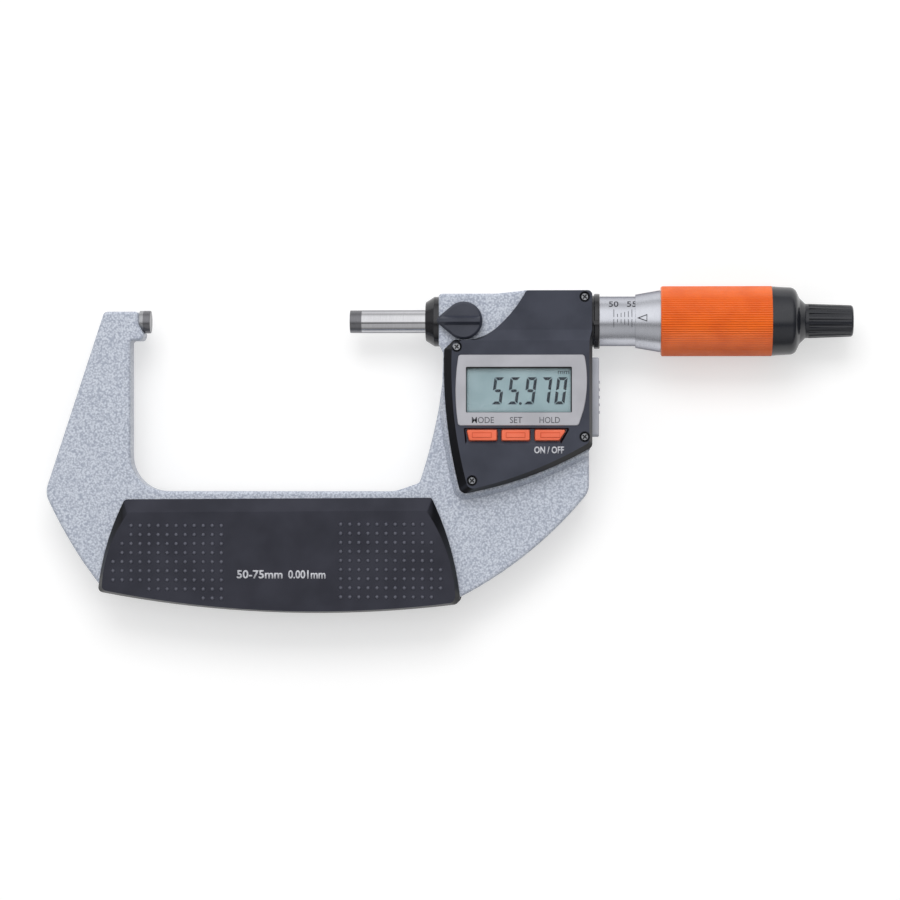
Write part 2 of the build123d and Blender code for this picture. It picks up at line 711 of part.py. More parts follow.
def driven_ratchet():
    return ratchet_disc(THIMBLE_RIGHT - RATCHET_SINK, DRIVEN_THICK, 1)


def driving_ratchet():
    disc = ratchet_disc(DRIVING_LEFT, DRIVING_THICK, -1)
    for side in (-1, 1):
        disc += block((DRIVING_LEFT, SPRING_LEFT), (-1.0, 1.0), (side * 6.6 - 0.5, side * 6.6 + 0.5))
    return disc


def ratchet_spring():
    pitch = (SPRING_LENGTH - 2 * SPRING_WIRE_R) / SPRING_TURNS
    line = Helix(pitch, SPRING_LENGTH - 2 * SPRING_WIRE_R, SPRING_R)
    wire = sweep(Plane(line @ 0, z_dir=line % 0) * Circle(SPRING_WIRE_R), path=line)
    return Pos(SPRING_LEFT + SPRING_WIRE_R, 0, 0) * Rot(0, 90, 0) * wire


def spring_seat():
    return rod(SEAT_LEFT, SEAT_LEFT + SEAT_THICK, CAP_BORE_R, SHOULDER_R + 0.15)


def ratchet_screw():
    foot = THIMBLE_RIGHT - RATCHET_SINK
    body = rod(foot - SCREW_THREAD, foot, SCREW_THREAD_R) + rod(foot, HEAD_LEFT, SHOULDER_R)
    body += rod(HEAD_LEFT, HEAD_LEFT + HEAD_THICK, HEAD_R)
    return body - block((HEAD_LEFT + HEAD_THICK - 0.8, HEAD_LEFT + 5), (-5, 5), (-0.5, 0.5))


def thimble_grip():
    bore = THIMBLE_TUBE_R + SLIP
    body = rod(GRIP_LEFT, GRIP_RIGHT, GRIP_R, bore)
    for number in range(GRIP_FLUTES):
        turn = Rot(number * 360 / GRIP_FLUTES, 0, 0)
        body -= turn * Pos(0, 0, GRIP_R) * Rot(45, 0, 0) * block(
            (GRIP_LEFT - 1, GRIP_RIGHT + 1), (-FLUTE_DEPTH, FLUTE_DEPTH), (-FLUTE_DEPTH, FLUTE_DEPTH))
    limit = turned((GRIP_LEFT, 0), (GRIP_LEFT, GRIP_R - GRIP_CHAMFER), (GRIP_LEFT + GRIP_CHAMFER, GRIP_R),
                   (GRIP_RIGHT, GRIP_R), (GRIP_RIGHT, 0))
    return body & limit


def grip_ring():
    return rod(GRIP_RIGHT, GRIP_RIGHT + RING_THICK, GRIP_RING_R, THIMBLE_TUBE_R + SLIP)


def end_cap():
    """Cap and knob in one moulding, with a spigot in the grip and a bore for the ratchet."""
    left = GRIP_RIGHT + RING_THICK
    seat = SEAT_LEFT + SEAT_THICK
    spigot_r = THIMBLE_TUBE_R + SLIP
    body = turned(
        (left - SPIGOT, CAP_BORE_R), (left - SPIGOT, spigot_r), (left, spigot_r), (left, CAP_R),
        (CAP_SHOULDER, CAP_R - 0.3, CAP_ROUNDING), (CAP_SHOULDER + 1.3, 6.4, 0.8), (KNOB_LEFT, KNOB_R + 0.15, 0.6),
        (KNOB_RIGHT, KNOB_END_R, 0.8), (KNOB_RIGHT, 0), (CAP_POCKET_RIGHT, 0),
        (CAP_POCKET_RIGHT, CAP_POCKET_R), (seat, CAP_POCKET_R), (seat, CAP_BORE_R),
    )
    for number in range(KNOB_FLUTES):
        flute = Pos((KNOB_LEFT + KNOB_RIGHT) / 2 + 0.2, 0, KNOB_R + 0.1) * Rot(0, 90, 0)
        body -= Rot(number * 360 / KNOB_FLUTES, 0, 0) * flute * Cylinder(
            KNOB_FLUTE_R, KNOB_RIGHT - KNOB_LEFT - 1.4)
    for side in (-1, 1):
        body -= block((left - SPIGOT, SPRING_LEFT + 0.1), (-1.1, 1.1), (side * 7.0 - 0.2, side * 7.0 + 0.2))
    return body


# Battery and connector

def battery():
    return post(BATTERY_PLACE, BATTERY_TOP_Z - BATTERY_TALL, BATTERY_TOP_Z, BATTERY_R)


def battery_contact():
    return post(BATTERY_PLACE, BATTERY_TOP_Z, BATTERY_TOP_Z + CONTACT_THICK, BATTERY_R - 0.4)


def battery_cap():
    low = -REST_DEPTH + DOOR_FLUSH
    body = post(BATTERY_PLACE, low, low + DOOR_THICK, DOOR_R)
    body += post(BATTERY_PLACE, low + DOOR_THICK, DOOR_SEAT_Z + CAP_THREAD, CAP_THREAD_R)
    return body - Pos(*BATTERY_PLACE, low) * Box(COIN_SLOT[0], COIN_SLOT[1], 2 * COIN_SLOT[2])


def battery_seal():
    return Pos(*BATTERY_PLACE, DOOR_SEAT_Z - SEAL_R) * Torus(DOOR_R - SEAL_R, SEAL_R - SEAL_CLEAR)


def connector_cover():
    high = CONNECTOR_TALL / 2
    wide = CONNECTOR_WIDE / 2
    shape = outline((-high, -wide, 1.0), (high, -wide, 1.0), (high, wide, 1.0), (-high, wide, 1.0))
    plate = extrude(shape, CONNECTOR_THICK)
    plate = fillet(plate.faces().sort_by(Axis.Z)[-1].edges(), 0.4)
    for number in range(CONNECTOR_RIBS):
        y = (number - (CONNECTOR_RIBS - 1) / 2) * CONNECTOR_RIB_PITCH
        plate += Pos(y, 0, CONNECTOR_THICK) * Box(0.7, CONNECTOR_WIDE - 1.6, 0.5)
    for side in (-1, 1):
        x = side * CONNECTOR_SCREW_PITCH / 2
        plate -= Pos(x, 0, CONNECTOR_THICK) * Cylinder(SCREW_HEAD_R + 0.15, 2 * SCREW_HEAD)
        plate -= Pos(x, 0, 0) * Cylinder(SCREW_SHANK_R + 0.1, 3 * CONNECTOR_THICK)
    return on_right_side(plate)


def on_right_side(shape):
    """Moves what is drawn flat at the origin onto the hub's right side, its X along Y."""
    return Pos(HUB_RIGHT + 0.02, CONNECTOR_Y, CONNECTOR_Z) * Rot(0, 90, 0) * Rot(0, 0, 90) * shape


def connector_screws():
    screws = []
    for side in (-1, 1):
        place = (side * CONNECTOR_SCREW_PITCH / 2, 0)
        seat = CONNECTOR_THICK - SCREW_HEAD
        head = post(place, seat, CONNECTOR_THICK - 0.1, SCREW_HEAD_R)
        head -= Pos(*place, CONNECTOR_THICK) * Box(1.4, 0.35, 0.8)
        screws.append(on_right_side(head + post(place, -SCREW_DEPTH + 0.2, seat, SCREW_SHANK_R)))
    return screws


def save(name, shape):
    """Writes one piece, or a group of like pieces, to its STEP file."""
    solids = shape if isinstance(shape, list) else [shape]
    solids = [solid for item in solids for solid in item.solids()]
    export_step(solids[0] if len(solids) == 1 else Compound(solids), f"parts/{name}.step")


def main():
    os.makedirs("parts", exist_ok=True)
    makers = [
        frame, anvil, anvil_tip, nose_ring, spindle_wiper, display_housing, display_gasket,
        housing_screws, bezel, display_window, lcd_panel, main_board, stator_disc, battery,
        battery_contact, connector_cover, connector_screws, inner_sleeve, adjusting_nut, sleeve,
        sleeve_collar, lock_ring, clamp_plug, rotor_disc, rotor_bush, rotor_key, spindle, spindle_tip,
        thimble, driven_ratchet, ratchet_screw, thimble_grip, grip_ring, end_cap, driving_ratchet,
        ratchet_spring, spring_seat, clamp_lever, clamp_shaft, battery_cap, battery_seal,
    ]
    for make in makers:
        save(make.__name__, make())
    cover = bow_cover()
    save("front_cover", cover)
    save("rear_cover", mirror(cover, Plane.XY))
    for name in BUTTONS:
        save(f"{name}_button", button(name))
        save(f"{name}_dome", button_dome(name))


main()
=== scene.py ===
import math

import bmesh
import bpy
from mathutils import Matrix, Vector


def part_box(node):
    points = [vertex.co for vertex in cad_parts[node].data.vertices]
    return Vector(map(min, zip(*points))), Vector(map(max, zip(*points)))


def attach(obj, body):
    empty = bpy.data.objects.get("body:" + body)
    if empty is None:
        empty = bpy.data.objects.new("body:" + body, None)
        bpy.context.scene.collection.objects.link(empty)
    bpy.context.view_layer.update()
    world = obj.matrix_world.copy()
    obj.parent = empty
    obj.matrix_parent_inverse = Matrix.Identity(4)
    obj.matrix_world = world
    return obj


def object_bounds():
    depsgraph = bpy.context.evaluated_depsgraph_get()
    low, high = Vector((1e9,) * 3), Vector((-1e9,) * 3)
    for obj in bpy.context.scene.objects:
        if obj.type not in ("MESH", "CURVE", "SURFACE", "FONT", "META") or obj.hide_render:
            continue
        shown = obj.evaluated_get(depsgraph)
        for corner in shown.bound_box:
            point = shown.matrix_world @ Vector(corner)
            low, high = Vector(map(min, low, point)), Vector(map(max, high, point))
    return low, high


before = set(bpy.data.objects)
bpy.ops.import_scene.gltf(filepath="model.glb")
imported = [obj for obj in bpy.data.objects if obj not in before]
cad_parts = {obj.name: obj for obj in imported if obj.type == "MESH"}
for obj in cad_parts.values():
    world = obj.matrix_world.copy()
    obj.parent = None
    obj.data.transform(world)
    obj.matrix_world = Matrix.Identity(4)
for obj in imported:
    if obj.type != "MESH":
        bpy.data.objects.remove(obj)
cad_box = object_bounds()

MM = 0.001
INK_THICK = 0.02 * MM        # how far print stands off what it is printed on
INK_SUNK = 0.005 * MM        # and how far it bites in, so that no gap shows


# Node helpers

def paint(red, green, blue):
    """A colour from the chart, 0 to 255, as the renderer's own light values."""
    values = []
    for part in (red, green, blue):
        share = part / 255
        values.append(share / 12.92 if share < 0.04045 else ((share + 0.055) / 1.055) ** 2.4)
    return (*values, 1.0)


def put(tree, kind, feeds=None, **settings):
    """Places a node. feeds gives each named socket a value, or the socket that drives it."""
    made = tree.nodes.new(kind)
    for name, value in settings.items():
        setattr(made, name, value)
    for name, value in (feeds or {}).items():
        socket = made.inputs[name]
        if isinstance(value, bpy.types.NodeSocket):
            tree.links.new(value, socket)
        else:
            socket.default_value = value
    return made


def new_effect(name, *extra):
    """A node group that turns two tones and a grain size into colour, roughness and height."""
    group = bpy.data.node_groups.new(name, "ShaderNodeTree")
    sockets = [
        ("Colour", "NodeSocketColor", (0.5, 0.5, 0.5, 1)),
        ("Shade", "NodeSocketColor", (0.4, 0.4, 0.4, 1)),
        ("Grain Size", "NodeSocketFloat", 0.0005),
        ("Smoothest", "NodeSocketFloat", 0.3),
        ("Roughest", "NodeSocketFloat", 0.5),
        *extra,
    ]
    for label, kind, value in sockets:
        group.interface.new_socket(label, in_out="INPUT", socket_type=kind).default_value = value
    for label, kind in [("Colour", "NodeSocketColor"), ("Roughness", "NodeSocketFloat"),
                        ("Height", "NodeSocketFloat")]:
        group.interface.new_socket(label, in_out="OUTPUT", socket_type=kind)
    given = group.nodes.new("NodeGroupInput").outputs
    result = group.nodes.new("NodeGroupOutput").inputs
    place = put(group, "ShaderNodeTexCoord").outputs["Object"]
    fineness = put(group, "ShaderNodeMath", {0: 1.0, 1: given["Grain Size"]},
                   operation="DIVIDE").outputs[0]
    return group, given, result, place, fineness


def noise(tree, place, scale, detail=2.0, roughness=0.5):
    """A cloudy mask, 0 to 1 but mostly near the middle."""
    return put(tree, "ShaderNodeTexNoise", {
        "Vector": place, "Scale": scale, "Detail": detail, "Roughness": roughness,
    }).outputs["Fac"]


def stretch(tree, value, low, high, new_low=0.0, new_high=1.0):
    """Spreads a mask between low and high over a new range."""
    return put(tree, "ShaderNodeMapRange", {
        "Value": value, "From Min": low, "From Max": high, "To Min": new_low, "To Max": new_high,
    }).outputs["Result"]


def blend_tones(tree, mask, first, second):
    """One tone where the mask is 0 and another where it is 1."""
    mixed = put(tree, "ShaderNodeMix", data_type="RGBA")
    tree.links.new(mask, mixed.inputs[0])
    tree.links.new(first, mixed.inputs[6])
    tree.links.new(second, mixed.inputs[7])
    return mixed.outputs[2]


def maths(tree, operation, first, second):
    """One arithmetic node."""
    return put(tree, "ShaderNodeMath", {0: first, 1: second}, operation=operation).outputs[0]


# Shared effects

def moulded_effect():
    """Moulded plastic: a fine even grain with slow drifts of tone and gloss."""
    group, given, result, place, fineness = new_effect("moulded_grain")
    grain = noise(group, place, fineness, 3.0, 0.6)
    drift = noise(group, place, 140.0, 2.0)
    tone = maths(group, "ADD", maths(group, "MULTIPLY", grain, 0.35),
                 maths(group, "MULTIPLY", drift, 0.65))
    group.links.new(blend_tones(group, stretch(group, tone, 0.4, 0.62), given["Colour"],
                                given["Shade"]), result["Colour"])
    group.links.new(stretch(group, drift, 0.35, 0.65, given["Smoothest"], given["Roughest"]),
                    result["Roughness"])
    group.links.new(grain, result["Height"])
    return group


def textured_face_effect():
    """Moulding with a finely textured front and back, and bevels and sides that are left smooth and
    take a near-black tone, a painted shade for the light that falls off them.
    """
    group, given, result, place, fineness = new_effect(
        "textured_face", ("Painted Bevel Shade", "NodeSocketColor", (0.02, 0.02, 0.03, 1)),
        ("Bevel Roughness", "NodeSocketFloat", 0.3))
    facing = put(group, "ShaderNodeSeparateXYZ", {
        "Vector": put(group, "ShaderNodeTexCoord").outputs["Normal"]}).outputs["Z"]
    front = stretch(group, put(group, "ShaderNodeMath", {0: facing}, operation="ABSOLUTE").outputs[0],
                    0.78, 0.84)
    grain = noise(group, place, fineness, 3.0, 0.6)
    drift = noise(group, place, 110.0, 2.0)
    tone = maths(group, "ADD", maths(group, "MULTIPLY", grain, 0.3),
                 maths(group, "MULTIPLY", drift, 0.7))
    face = blend_tones(group, stretch(group, tone, 0.4, 0.62), given["Colour"], given["Shade"])
    # Painted shade: where the object-space normal turns away from Z, the colour goes to the near-black
    # bevel tone.
    group.links.new(blend_tones(group, front, given["Painted Bevel Shade"], face), result["Colour"])
    gloss = stretch(group, drift, 0.35, 0.65, given["Smoothest"], given["Roughest"])
    group.links.new(stretch(group, front, 0.0, 1.0, given["Bevel Roughness"], gloss),
                    result["Roughness"])
    group.links.new(maths(group, "MULTIPLY", grain, front), result["Height"])
    return group


def turned_effect():
    """Metal turned or ground round the spindle's axis: fine rings side by side along X."""
    group, given, result, place, fineness = new_effect("turned_rings")
    rings = put(group, "ShaderNodeMapping", {"Vector": place, "Scale": (1.0, 0.03, 0.03)})
    lines = noise(group, rings.outputs[0], fineness, 3.0, 0.7)
    drift = noise(group, place, 90.0, 2.0)
    tone = maths(group, "ADD", maths(group, "MULTIPLY", lines, 0.6),
                 maths(group, "MULTIPLY", drift, 0.4))
    group.links.new(blend_tones(group, stretch(group, tone, 0.35, 0.65), given["Colour"],
                                given["Shade"]), result["Colour"])
    group.links.new(stretch(group, lines, 0.3, 0.7, given["Smoothest"], given["Roughest"]),
                    result["Roughness"])
    group.links.new(lines, result["Height"])
    return group


def hammered_effect():
    """Hammer finish enamel: small round dimples with darker flecks of pigment between them."""
    group, given, result, place, fineness = new_effect("hammer_finish")
    wander = noise(group, place, maths(group, "MULTIPLY", fineness, 0.8), 2.0)
    nudge = put(group, "ShaderNodeVectorMath", {0: place}, operation="ADD")
    shift = put(group, "ShaderNodeVectorMath", operation="SCALE")
    group.links.new(put(group, "ShaderNodeTexNoise", {"Vector": place, "Scale": 700.0,
                        "Detail": 1.0}).outputs["Color"], shift.inputs[0])
    group.links.new(maths(group, "MULTIPLY", given["Grain Size"], 0.8), shift.inputs["Scale"])
    group.links.new(shift.outputs[0], nudge.inputs[1])
    cells = put(group, "ShaderNodeTexVoronoi", {
        "Vector": nudge.outputs[0], "Scale": fineness, "Smoothness": 0.6,
    }, feature="SMOOTH_F1").outputs["Distance"]
    fleck = maths(group, "ADD", maths(group, "MULTIPLY", cells, 0.55),
                  maths(group, "MULTIPLY", wander, 0.6))
    tone = stretch(group, fleck, 0.42, 0.72)
    group.links.new(blend_tones(group, tone, given["Colour"], given["Shade"]), result["Colour"])
    group.links.new(stretch(group, wander, 0.3, 0.7, given["Smoothest"], given["Roughest"]),
                    result["Roughness"])
    group.links.new(maths(group, "SUBTRACT", 1.0, cells), result["Height"])
    return group


MOULDED = moulded_effect()
TEXTURED = textured_face_effect()
TURNED = turned_effect()
HAMMERED = hammered_effect()


# Materials

def finish(name, effect, colour, shade, grain, gloss, depth, bevel=None, **shader_values):
    """A material with its own shader, fed by one of the shared effects."""
    material = bpy.data.materials.new(name)
    material.use_nodes = True
    tree = material.node_tree
    tree.nodes.clear()
    source = put(tree, "ShaderNodeGroup", node_tree=effect)
    for label, value in [("Colour", paint(*colour)), ("Shade", paint(*shade)),
                         ("Grain Size", grain * MM), ("Smoothest", gloss[0]),
                         ("Roughest", gloss[1])]:
        source.inputs[label].default_value = value
    # The painted bevel shade, for finishes that have one.
    if bevel:
        source.inputs["Painted Bevel Shade"].default_value = paint(*bevel)
    bump = put(tree, "ShaderNodeBump", {"Strength": 0.6, "Distance": depth * MM,
                                        "Height": source.outputs["Height"]})
    shader = put(tree, "ShaderNodeBsdfPrincipled", {
        "Base Color": source.outputs["Colour"], "Roughness": source.outputs["Roughness"],
        "Normal": bump.outputs["Normal"],
    })
    for label, value in shader_values.items():
        shader.inputs[label.replace("_", " ")].default_value = value
    put(tree, "ShaderNodeOutputMaterial", {"Surface": shader.outputs[0]})
    return material


def window_finish():
    """The clear window: plain glass that lets the light through to the display."""
    material = finish("clear_window", MOULDED, (250, 252, 252), (240, 244, 244), 4.0,
                      (0.02, 0.05), 0.001, IOR=1.2, Transmission_Weight=1.0)
    tree = material.node_tree
    glass = next(n for n in tree.nodes if n.type == "BSDF_PRINCIPLED")
    output = next(n for n in tree.nodes if n.type == "OUTPUT_MATERIAL")
    path = put(tree, "ShaderNodeLightPath")
    passing = maths(tree, "MAXIMUM", path.outputs["Is Shadow Ray"],
                    path.outputs["Is Diffuse Ray"])
    clear = put(tree, "ShaderNodeBsdfTransparent", {"Color": (0.96, 0.97, 0.97, 1)})
    both = put(tree, "ShaderNodeMixShader", {0: passing})
    tree.links.new(glass.outputs[0], both.inputs[1])
    tree.links.new(clear.outputs[0], both.inputs[2])
    tree.links.new(both.outputs[0], output.inputs["Surface"])
    return material


EDGE_TINT = (0.25, 0.25, 0.27, 1.0)          # metals darken where they turn away from the eye

FINISHES = {
    "enamel": finish("hammer_enamel", HAMMERED, (204, 210, 221), (158, 165, 181), 0.5,
                     (0.34, 0.52), 0.035, Metallic=0.1, Coat_Weight=0.25, Coat_Roughness=0.25),
    "steel": finish("turned_steel", TURNED, (178, 179, 182), (150, 151, 155), 0.08,
                    (0.24, 0.38), 0.003, Metallic=1.0),
    "carbide": finish("ground_carbide", TURNED, (128, 128, 132), (108, 108, 112), 0.05,
                      (0.26, 0.36), 0.002, Metallic=1.0),
    "black_ring": finish("black_oxide", TURNED, (38, 38, 42), (28, 28, 32), 0.12,
                         (0.14, 0.24), 0.003, Metallic=0.4, Specular_IOR_Level=0.9),
    "rubber": finish("black_rubber", MOULDED, (26, 26, 28), (20, 20, 22), 0.3,
                     (0.60, 0.75), 0.01),
    # The bevel tones of both plastics below are painted shade on their bevels and sides.
    "cover_plastic": finish("cover_plastic", TEXTURED, (46, 47, 58), (39, 40, 50), 0.22,
                            (0.46, 0.58), 0.010, bevel=(8, 9, 15), Specular_IOR_Level=0.3),
    "housing_plastic": finish("housing_plastic", TEXTURED, (60, 63, 75), (52, 55, 66), 0.2,
                              (0.42, 0.54), 0.009, bevel=(4, 5, 11), Specular_IOR_Level=0.3),
    "screw_steel": finish("screw_steel", MOULDED, (158, 160, 164), (112, 114, 119), 0.3,
                          (0.22, 0.36), 0.006, Metallic=1.0),
    "bezel_metal": finish("bezel_paint", MOULDED, (180, 180, 186), (171, 171, 177), 0.15,
                          (0.38, 0.48), 0.005, Metallic=0.2),
    "clear_window": window_finish(),
    "lcd_glass": finish("display_cell", MOULDED, (160, 181, 187), (151, 172, 179), 0.25,
                        (0.25, 0.32), 0.001),
    "board": finish("circuit_board", MOULDED, (24, 84, 52), (18, 66, 42), 0.6,
                    (0.35, 0.5), 0.01),
    "cell_steel": finish("cell_steel", TURNED, (188, 188, 186), (168, 168, 167), 0.2,
                         (0.18, 0.28), 0.002, Metallic=1.0),
    "contact_metal": finish("gilt_contact", MOULDED, (208, 180, 108), (188, 158, 88), 0.4,
                            (0.22, 0.32), 0.002, Metallic=1.0),
    "grey_plastic": finish("grey_plastic", MOULDED, (182, 184, 192), (172, 174, 182), 0.2,
                           (0.40, 0.52), 0.010),
    "satin_chrome": finish("satin_chrome", TURNED, (208, 210, 217), (192, 194, 202), 0.06,
                           (0.24, 0.34), 0.003, Metallic=1.0, Specular_Tint=EDGE_TINT),
    "polished_steel": finish("ground_steel", TURNED, (206, 206, 209), (188, 188, 192), 0.08,
                             (0.06, 0.12), 0.001, Metallic=1.0, Specular_Tint=EDGE_TINT),
    "brass": finish("turned_brass", TURNED, (202, 168, 92), (180, 146, 74), 0.1,
                    (0.22, 0.34), 0.003, Metallic=1.0),
    "orange_grip": finish("orange_grip", MOULDED, (236, 110, 28), (224, 98, 22), 0.3,
                          (0.30, 0.40), 0.006, Coat_Weight=0.2, Coat_Roughness=0.15),
    "black_plastic": finish("black_plastic", MOULDED, (30, 32, 39), (23, 25, 32), 0.25,
                            (0.20, 0.28), 0.004, Specular_IOR_Level=0.55),
    "spring_steel": finish("spring_wire", MOULDED, (150, 150, 152), (120, 120, 124), 0.5,
                           (0.2, 0.3), 0.002, Metallic=1.0),
    "lever_plastic": finish("lever_plastic", MOULDED, (56, 59, 71), (49, 52, 63), 0.22,
                            (0.30, 0.40), 0.006, Specular_IOR_Level=0.4),
    "orange_button": finish("orange_key", MOULDED, (240, 112, 78), (232, 102, 68), 0.25,
                            (0.34, 0.44), 0.006, Subsurface_Weight=0.05),
}
DARK_INK = finish("dark_ink", MOULDED, (40, 42, 50), (52, 54, 62), 0.2, (0.4, 0.55), 0.002)
GREY_INK = finish("grey_ink", MOULDED, (88, 89, 95), (100, 101, 107), 0.2, (0.4, 0.55), 0.002)
LIGHT_INK = finish("light_ink", MOULDED, (205, 206, 212), (186, 187, 194), 0.2, (0.4, 0.55),
                   0.002)
PIP_RUBBER = finish("pip_plastic", MOULDED, (84, 85, 97), (76, 77, 89), 0.2, (0.24, 0.34), 0.003)
# Deeper orange for the painted shadow round each key's pad.
PAD_SHADOW_ORANGE = finish("groove_orange", MOULDED, (206, 78, 34), (196, 70, 30), 0.25, (0.4, 0.5),
                       0.003)
# Near-black paint for the painted shadow round the window and the painted shade in the screw recesses.
SHADE_INK = finish("painted_shade_ink", MOULDED, (22, 23, 28), (28, 29, 34), 0.2, (0.35, 0.5), 0.001)
DISPLAY_INK = finish("display_ink", MOULDED, (10, 24, 38), (16, 32, 48), 0.2, (0.4, 0.5), 0.001)


def dress_frame():
    """Every CAD node takes the finish of its own material slot."""
    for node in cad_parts.values():
        for place in node.material_slots:
            place.material = FINISHES[place.material.name.split(".")[0]]


# Making pieces

def piece(name, mesh, material, body):
    """Puts a finished mesh (a bmesh in metres) into the scene, on the body that carries it."""
    data = bpy.data.meshes.new(name)
    bmesh.ops.recalc_face_normals(mesh, faces=mesh.faces)
    mesh.to_mesh(data)
    mesh.free()
    data.materials.append(material)
    made = bpy.data.objects.new(name, data)
    bpy.context.scene.collection.objects.link(made)
    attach(made, body)
    return made


def thicken(mesh, thickness=INK_THICK, sunk=INK_SUNK):
    """Gives flat faces at z 0 a body: from just under the surface to just above it."""
    top = bmesh.ops.extrude_face_region(mesh, geom=mesh.faces[:])
    raised = [item for item in top["geom"] if isinstance(item, bmesh.types.BMVert)]
    lifted = set(raised)
    for vert in mesh.verts:
        vert.co.z = thickness if vert in lifted else -sunk


def flat_shape(corner_lists):
    """Flat faces at z 0 from lists of corners in millimetres."""
    mesh = bmesh.new()
    for corners in corner_lists:
        mesh.faces.new([mesh.verts.new((x * MM, y * MM, 0)) for x, y in corners])
    return mesh


def word_shape(words, left, right, bottom, top, weight=0.012):
    """Flat lettering at z 0 that just fills the box given in millimetres. Weight thickens it."""
    curve = bpy.data.curves.new("words", "FONT")
    curve.body = words
    curve.offset = weight
    curve.resolution_u = 3
    holder = bpy.data.objects.new("words", curve)
    bpy.context.scene.collection.objects.link(holder)
    bpy.context.view_layer.update()
    data = bpy.data.meshes.new_from_object(
        holder.evaluated_get(bpy.context.evaluated_depsgraph_get()))
    mesh = bmesh.new()
    mesh.from_mesh(data)
    bpy.data.objects.remove(holder)
    bpy.data.curves.remove(curve)
    bpy.data.meshes.remove(data)
    low_x, high_x = min(v.co.x for v in mesh.verts), max(v.co.x for v in mesh.verts)
    low_y, high_y = min(v.co.y for v in mesh.verts), max(v.co.y for v in mesh.verts)
    for vert in mesh.verts:
        across = (vert.co.x - low_x) / (high_x - low_x)
        up = (vert.co.y - low_y) / (high_y - low_y)
        vert.co = ((left + across * (right - left)) * MM, (bottom + up * (top - bottom)) * MM, 0)
    return mesh


def join_shapes(shapes):
    """Several bmeshes as one."""
    whole = shapes[0]
    for shape in shapes[1:]:
        data = bpy.data.meshes.new("part")
        shape.to_mesh(data)
        shape.free()
        whole.from_mesh(data)
        bpy.data.meshes.remove(data)
    return whole


def print_flat(name, shape, height, material):
    """Prints a flat shape on a surface of the frame that faces forwards."""
    thicken(shape)
    bmesh.ops.translate(shape, verts=shape.verts, vec=(0, 0, height))
    return piece(name, shape, material, "frame")


def print_round(name, shape, radius_at, datum, material, body):
    """Wraps a flat shape round the spindle's axis. Its y is a length of arc from the datum."""
    reach = [vert.co.y for vert in shape.verts]
    steps = int((max(reach) - min(reach)) / (0.3 * MM)) + 1
    for index in range(1, steps):
        level = min(reach) + (max(reach) - min(reach)) * index / steps
        bmesh.ops.bisect_plane(shape, geom=shape.verts[:] + shape.edges[:] + shape.faces[:],
                               plane_co=(0, level, 0), plane_no=(0, 1, 0))
    thicken(shape)
    for vert in shape.verts:
        ground = radius_at(vert.co.x)
        angle = datum + vert.co.y / ground
        radius = ground + vert.co.z
        vert.co = (vert.co.x, radius * math.sin(angle), radius * math.cos(angle))
    return piece(name, shape, material, body)


# Sleeve and thimble marks

DATUM_Y = 0.64 * MM                          # the reading line stands a little above the axis
SLEEVE_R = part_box("sleeve")[1].z
FIRST_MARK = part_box("thimble")[0].x / MM - 5.97
MARK_WIDTH = 0.17
MARK_GAP = 0.28                              # half of the break at the reading line
HALF_LENGTHS = [2.55, 1.2, 1.5, 1.75, 2.0]   # of each mark after a numbered one
MARKS = 26
NUMBER_LOW, NUMBER_HIGH = 3.35, 5.5          # arc from the reading line to the numbers


def sleeve_marks():
    """Millimetre lines round the sleeve, each broken at the reading line."""
    corner_lists = []
    for index in range(MARKS):
        x = FIRST_MARK + index
        length = HALF_LENGTHS[index % 5]
        for low, high in [(-length, -MARK_GAP), (MARK_GAP, length)]:
            corner_lists.append([(x - MARK_WIDTH / 2, low), (x + MARK_WIDTH / 2, low),
                                 (x + MARK_WIDTH / 2, high), (x - MARK_WIDTH / 2, high)])
    print_round("sleeve_marks", flat_shape(corner_lists), lambda x: SLEEVE_R,
                math.asin(DATUM_Y / SLEEVE_R), DARK_INK, "frame")


def sleeve_numbers():
    """A number at every fifth line, read with the axis level."""
    shapes = []
    for index in range(0, MARKS, 5):
        x = FIRST_MARK + index
        shapes.append(word_shape(str(50 + index), x - 1.4, x + 1.3, NUMBER_LOW, NUMBER_HIGH))
    print_round("sleeve_numbers", join_shapes(shapes), lambda x: SLEEVE_R,
                math.asin(DATUM_Y / SLEEVE_R), DARK_INK, "frame")


THIMBLE_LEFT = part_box("thimble")[0].x
CONE_RUN = 6.8 * MM
LIP_R, CONE_R = 7.42 * MM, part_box("thimble")[1].z
INDEX_LINE = 0.2


def cone_radius(x):
    """Radius of the thimble's cone at a place along the axis."""
    return LIP_R + (CONE_R - LIP_R) * (x - THIMBLE_LEFT) / CONE_RUN


def thimble_index():
    """The outlined triangle that points at the reading line."""
    left = THIMBLE_LEFT / MM
    tip, base, half = left + 0.4, left + 3.25, 1.05
    outer = [(tip, 0.0), (base, -half), (base, half)]
    inner = [(tip + 0.75, 0.0), (base - INDEX_LINE, -half + 0.33), (base - INDEX_LINE, half - 0.33)]
    corner_lists = []
    for index in range(3):
        following = (index + 1) % 3
        corner_lists.append([outer[index], outer[following], inner[following], inner[index]])
    print_round("thimble_index", flat_shape(corner_lists), cone_radius,
                math.asin(DATUM_Y / LIP_R), DARK_INK, "spindle")


# Display

DIGIT_TOP, DIGIT_TALL, DIGIT_WIDE, STROKE = -15.75, 7.5, 2.85, 0.82
DIGIT_SLANT = 0.127
SEGMENT_GAP = 0.09
READING = [("5", 99.44), ("5", 103.85), ("9", 108.4), ("7", 112.62), ("0", 116.83)]
LIT = {"5": "afgcd", "9": "afbgcd", "7": "abc", "0": "abcdef"}


